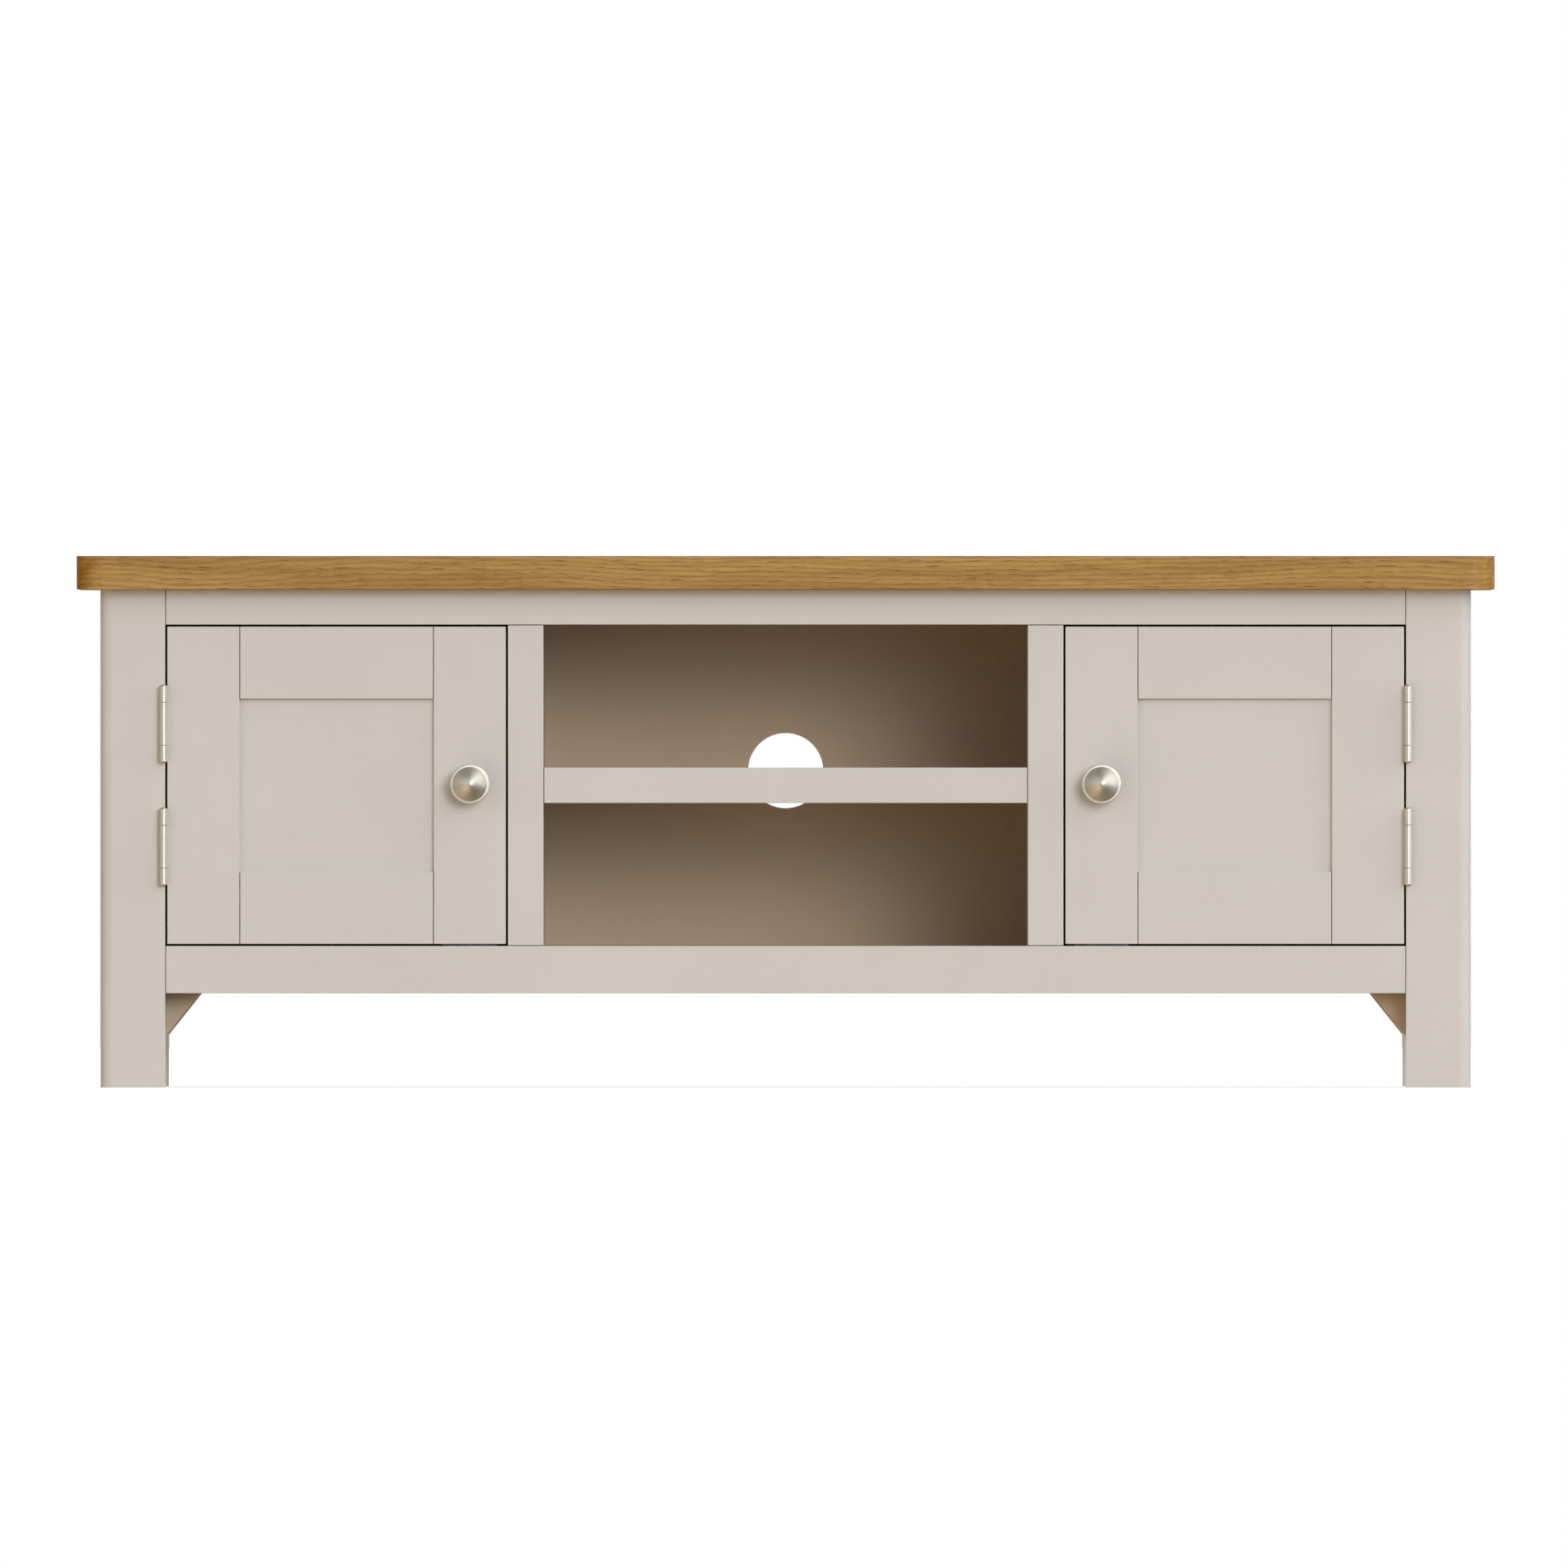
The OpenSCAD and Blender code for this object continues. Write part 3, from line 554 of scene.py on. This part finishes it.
def eased(node, material, width, picks, segments=3, slope=None):
    """A copy of a CAD node with its picked edges rounded. The rounded faces carry arris = 1.

    slope is (low, high, axis) of a board whose front ends slope back.
    """
    bm = cad_copy(node)
    if slope:
        slope_ends(bm, *slope)
    edges = [e for e in bm.edges if e.is_manifold and picks(e)]
    arris = bm.faces.layers.float.new("arris")
    done = bmesh.ops.bevel(
        bm,
        geom=edges,
        offset=width,
        offset_type="OFFSET",
        segments=segments,
        profile=0.5,
        affect="EDGES",
        clamp_overlap=True,
    )
    for face in done["faces"]:
        face[arris] = 1.0
    finish_copy(bm, node, "_eased", material)


def block_edges(low, high):
    """Picks the twelve edges of a block, even where a groove or mortise interrupts them."""
    return lambda edge: planes_shared(edge, low, high) >= 2


def eased_block(node, material, width, trim=(0, 0, 0), joints=None):
    """A board with its edges eased.

    trim is how far tenons stand past the block on each axis. joints is the axis whose two ends
    meet other boards in a visible joint.
    """
    low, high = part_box(node)
    low = low + Vector(trim)
    high = high - Vector(trim)
    slope = None if joints is None else (low, high, joints)
    eased(node, material, width, block_edges(low, high), slope=slope)


# ---- Carcass

def eased_leg(node):
    """A leg with its foot and its three square edges eased. The fourth is already round."""
    low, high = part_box(node)

    def picks(edge):
        at_foot = all(on(v.co.z, low.z) for v in edge.verts)
        return at_foot or planes_shared(edge, low, high) >= 2

    eased(node, "paint_z", EASE, picks)


def eased_bracket(node):
    """A corner bracket with its long outer edges eased."""
    low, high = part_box(node)

    def picks(edge):
        sharp = edge.calc_face_angle() > SMOOTH_ANGLE
        return sharp and edge.calc_length() > 10 * MM and planes_shared(edge, low, high) >= 1

    # Their paint is darker than the frame's: painted shade.
    eased(node, "paint_brackets_shaded", FINE_EASE, picks)


def eased_top():
    """The oak top with its upper and lower edges rounded, but not its screw holes."""
    low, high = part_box("oak_top")
    border = SLAB_CORNER + 1 * MM

    def near_border(v):
        return min(v.co.x - low.x, high.x - v.co.x, v.co.y - low.y, high.y - v.co.y) < border

    def picks(edge):
        level = any(all(on(v.co.z, z) for v in edge.verts) for z in (low.z, high.z))
        sharp = edge.calc_face_angle() >= SMOOTH_ANGLE
        return level and sharp and all(near_border(v) for v in edge.verts)

    eased("oak_top", "oak", SLAB_EASE, picks, segments=4)


eased_top()
for end in ("front", "rear"):
    for side in SIDES:
        eased_leg("leg_%s_%s" % (end, side))
    joints = X if end == "front" else None
    eased_block(end + "_top_rail", "paint_x", EASE, joints=joints)
    eased_block(end + "_bottom_rail", "paint_x", EASE, joints=joints)
    for side in SIDES:
        eased_bracket("corner_bracket_%s_%s" % (end, side))
for side in SIDES:
    eased_block("side_top_rail_" + side, "paint_y", EASE)
    eased_block("side_bottom_rail_" + side, "paint_y", EASE)
    eased_block("side_panel_" + side, "paint_z", FINE_EASE)
    eased_block("divider_stile_" + side, "paint_z", EASE, joints=Z)
    eased_block("divider_panel_" + side, "paint_y", FINE_EASE)
eased_block("base_panel", "paint_x", FINE_EASE)
eased_block("shelf_rail", "paint_x", EASE, joints=X)
eased_block("shelf_board", "paint_x", EASE)
# The back panel carries painted shade on its faces toward the bays.
eased_block("back_panel", "paint_back", FINE_EASE)


# ---- Doors

for side in SIDES:
    door = "door_" + side
    for part in ("hinge_stile", "knob_stile"):
        eased_block("%s_%s" % (door, part), "paint_z", EASE)
    for part in ("top_rail", "bottom_rail"):
        eased_block("%s_%s" % (door, part), "paint_x", EASE, trim=(TENON, 0, 0), joints=X)
    eased_block(door + "_panel", "paint_z", FINE_EASE)


# ---- Turned knobs

def lathe(name, profile, steps):
    """A mesh turned round the Y axis from (radius, y) points that start and end on the axis."""
    bm = bmesh.new()
    rings = []
    for radius, y in profile:
        if radius < WELD:
            rings.append([bm.verts.new((0, y, 0))] * steps)
            continue
        turns = (2 * math.pi * i / steps for i in range(steps))
        rings.append([bm.verts.new((radius * math.cos(t), y, radius * math.sin(t))) for t in turns])
    for lower, upper in zip(rings, rings[1:]):
        for i in range(steps):
            j = (i + 1) % steps
            corners = list(dict.fromkeys((lower[i], lower[j], upper[j], upper[i])))
            bm.faces.new(corners)
    bmesh.ops.recalc_face_normals(bm, faces=bm.faces)
    shade(bm)
    mesh = bpy.data.meshes.new(name)
    bm.to_mesh(mesh)
    bm.free()
    return mesh


def arc(centre, radius, start, end, steps):
    """Points of an arc in (radius, y), from one angle to another in degrees."""
    turns = [math.radians(start + (end - start) * i / steps) for i in range(steps + 1)]
    return [(centre[0] + radius * math.cos(t), centre[1] + radius * math.sin(t)) for t in turns]


def knob_stem(end_r, start_y, end_y):
    """The stem's outline, waisted between two ends of the same radius."""
    waist_r = 6.0 * MM
    steps = 24
    points = []
    for i in range(steps + 1):
        radius = waist_r + (end_r - waist_r) * (2 * i / steps - 1) ** 2
        points.append((radius, start_y + (end_y - start_y) * i / steps))
    return points


def knob_flare(start_r, end_r, start_y, end_y):
    """A quarter of an ellipse from the stem out to the rim, without its two ends."""
    steps = 12
    turns = [math.radians(90 * i / steps) for i in range(1, steps)]
    wider, longer = end_r - start_r, end_y - start_y
    return [(start_r + wider * math.sin(t), end_y - longer * math.cos(t)) for t in turns]


def knob_dome(base_r, start_y, end_y):
    """The softly pointed dome, from its base to its tip."""
    steps = 28
    pointed = 1.65
    shares = [1 - i / steps for i in range(steps + 1)]
    return [(base_r * share, start_y + (end_y - start_y) * (1 - share ** pointed)) for share in shares]


def knob_profile(rim_r, length):
    """Half of a knob's outline, from the middle of its foot to its tip, along +Y."""
    foot_r, foot_ease = 9.5 * MM, 0.3 * MM
    stem_y, neck_y, rim_y = 1.5 * MM, 10.5 * MM, 15.0 * MM
    rim_round, rim_mid = 0.7 * MM, rim_y + 0.82 * MM
    dome_r, dome_y = rim_r - 2.5 * MM, rim_y + 2.8 * MM
    fillet, fillet_y = 0.35 * MM, rim_y + 1.95 * MM
    return [
        (0, 0), (foot_r - foot_ease, 0), (foot_r, foot_ease), (foot_r, stem_y - foot_ease),
        *knob_stem(foot_r, stem_y, neck_y),
        *knob_flare(foot_r, rim_r, neck_y, rim_y),
        *arc((rim_r - rim_round, rim_mid), rim_round, -60, 85, 8),
        *arc((dome_r + fillet, fillet_y), fillet, 270, 180, 5),
        *knob_dome(dome_r, dome_y, length),
    ]


def turned_knob(node):
    """A knob turned anew round its own axis, from the foot that the stile holds."""
    low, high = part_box(node)
    foot = Vector(((low.x + high.x) / 2, high.y, (low.z + high.z) / 2))
    profile = [(r, -y) for r, y in knob_profile((high.z - low.z) / 2, high.y - low.y)]
    name = node + "_turned"
    mesh = lathe(name, profile, steps=96)
    finish_piece(name, mesh, "nickel_turned", BODY_OF[node], [node], foot)


for side in SIDES:
    turned_knob("door_%s_knob" % side)


# ---- Hinges

def eased_leaf(node, side):
    """A hinge leaf with the ends of its knuckles eased."""
    axis = HINGES["door_" + side]

    def on_barrel(v):
        return abs((v.co - axis).xy.length - BARREL_R) < ON_PLANE

    def picks(edge):
        a, b = edge.verts
        level = on(a.co.z, b.co.z)
        return level and on_barrel(a) and on_barrel(b) and edge.calc_face_angle() > SMOOTH_ANGLE

    eased(node, "nickel", FINE_EASE, picks)


for side in SIDES:
    for level in ("upper", "lower"):
        eased_leaf("frame_leaf_%s_%s" % (side, level), side)
        eased_leaf("door_%s_leaf_%s" % (side, level), side)
finish_copy(cad_copy("hinge_pins"), "hinge_pins", "_smooth", "nickel")


# ---- CAD nodes that keep their shape and get a finish

for node, cad in frame["nodes"].items():
    if cad.hide_render:
        continue
    cad.data.materials.clear()
    cad.data.materials.append(MATERIALS[SLOT_OF[node]])


# ---- Floor, lights and camera

COOL = (0.97, 1.04, 1.145)
BROWN = (1.52, 1.25, 0.82)
NEUTRAL = (1.0, 0.99, 0.97)
WHITE = (1.0, 1.0, 1.0)

# The light from underneath, and the broad glows round the object:
# azimuth and elevation in degrees, sharpness, color, strength.
FROM_BELOW = (0.10, 0.07, 0.04)
GLOWS = [
    (20, 13, 40, COOL, 10.3),
    (85, 10, 20, COOL, 0.76),
    (-45, 10, 20, COOL, 0.90),
    (-75, 10, 20, COOL, 0.65),
    (0, 35, 20, COOL, 0.35),
    (-40, 35, 20, COOL, 0.95),
    (40, 35, 18, COOL, 1.45),
    (80, 40, 16, COOL, 2.90),
    (-80, 40, 20, COOL, 0.13),
    (-40, -35, 8, BROWN, 1.0),
    (180, 20, 3, NEUTRAL, 1.9),
]

# The floor's own suns: name, strength, and whether the cabinet shades it.
FLOOR_SUNS = [
    ("floor_fill", 3.4, False),
    ("floor_shadow", 1.2, True),
]

FLOOR_REACH = 8.0
VIEW_WIDTH = 1.3268
VIEW_CENTRE = (-0.0014, 0.2571)


def towards(azimuth, elevation):
    """A unit vector. Azimuth 0 is in front of the cabinet and 90 on its right."""
    a, e = math.radians(azimuth), math.radians(elevation)
    return Vector((math.sin(a) * math.cos(e), -math.cos(a) * math.cos(e), math.sin(e)))


def make_floor():
    """A wide floor that the camera sees and that sends no light back to the cabinet."""
    corners = [(-1, -1), (1, -1), (1, 1), (-1, 1)]
    mesh = bpy.data.meshes.new("studio_floor")
    mesh.from_pydata([(FLOOR_REACH * x, FLOOR_REACH * y, 0) for x, y in corners], [], [(0, 1, 2, 3)])
    mesh.materials.append(MATERIALS["floor"])
    floor = bpy.data.objects.new("studio_floor", mesh)
    bpy.context.scene.collection.objects.link(floor)
    floor.visible_diffuse = False
    floor.visible_glossy = False
    floor.visible_shadow = False
    return floor


def area_light(name, azimuth, elevation, distance, size, power, color):
    """A square area light that faces the middle of the cabinet."""
    target = Vector((0, 0, 0.25))
    out = towards(azimuth, elevation)
    data = bpy.data.lights.new(name, "AREA")
    data.shape = "SQUARE"
    data.size = size
    data.energy = power
    data.color = color
    lamp = bpy.data.objects.new(name, data)
    lamp.location = target + out * distance
    lamp.rotation_mode = "QUATERNION"
    lamp.rotation_quaternion = out.to_track_quat("Z", "Y")
    lamp.visible_camera = False
    bpy.context.scene.collection.objects.link(lamp)


def light_floor(floor):
    """Even light from straight above for the floor alone, a small part of it shaded by the cabinet."""
    lit = bpy.data.collections.new("lit_by_floor_light")
    lit.objects.link(floor)
    for name, strength, shaded in FLOOR_SUNS:
        data = bpy.data.lights.new(name, "SUN")
        data.energy = strength
        data.angle = math.radians(70)
        data.use_shadow = shaded
        lamp = bpy.data.objects.new(name, data)
        bpy.context.scene.collection.objects.link(lamp)
        lamp.light_linking.receiver_collection = lit


def studio_world():
    """White behind the object as the camera sees it, and soft colored light from all round.

    The light from underneath fades evenly to nothing straight overhead, and the glows add to it.
    """
    world = bpy.data.worlds.new("studio")
    world.use_nodes = True
    tree = world.node_tree
    tree.nodes.clear()
    direction = add(tree, "TexCoord").outputs["Generated"]

    def vector_math(operation, *values):
        return add(tree, "VectorMath", dict(enumerate(values)), operation=operation)

    def facing(target):
        return vector_math("DOT_PRODUCT", direction, target).outputs["Value"]

    def tinted(color, amount):
        made = add(tree, "VectorMath", {0: color, "Scale": amount}, operation="SCALE")
        return made.outputs["Vector"]

    downwards = calc(tree, "MULTIPLY_ADD", facing(Vector((0, 0, -1))), 0.5, 0.5)
    total = tinted(FROM_BELOW, downwards)
    for azimuth, elevation, sharpness, color, strength in GLOWS:
        near = calc(tree, "MAXIMUM", facing(towards(azimuth, elevation)), 0.0)
        peak = calc(tree, "MULTIPLY", calc(tree, "POWER", near, sharpness), strength)
        total = vector_math("ADD", total, tinted(color, peak)).outputs["Vector"]
    lit = add(tree, "Background", {"Color": total, "Strength": 1.0})
    seen = add(tree, "Background", {"Color": rgba(*WHITE), "Strength": 1.0})
    is_camera = add(tree, "LightPath").outputs["Is Camera Ray"]
    mixed = add(tree, "MixShader", {0: is_camera, 1: lit.outputs[0], 2: seen.outputs[0]})
    add(tree, "OutputWorld", {"Surface": mixed.outputs[0]})
    bpy.context.scene.world = world


def make_camera():
    """A very long lens straight in front, so that depth hardly changes the scale."""
    data = bpy.data.cameras.new("camera")
    data.lens = 1500.0
    data.sensor_width = 36.0
    distance = VIEW_WIDTH * data.lens / data.sensor_width
    data.clip_start = 1.0
    data.clip_end = 2 * distance
    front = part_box("front_top_rail")[0].y
    camera = bpy.data.objects.new("camera", data)
    camera.location = (VIEW_CENTRE[0], front - distance, VIEW_CENTRE[1])
    camera.rotation_euler = (math.radians(90), 0, 0)
    bpy.context.scene.collection.objects.link(camera)
    bpy.context.scene.camera = camera


floor = make_floor()
studio_world()
area_light("side", azimuth=78, elevation=5, distance=3.0, size=1.5, power=11.2, color=COOL)
light_floor(floor)
make_camera()
bpy.context.scene.view_settings.view_transform = "Standard"
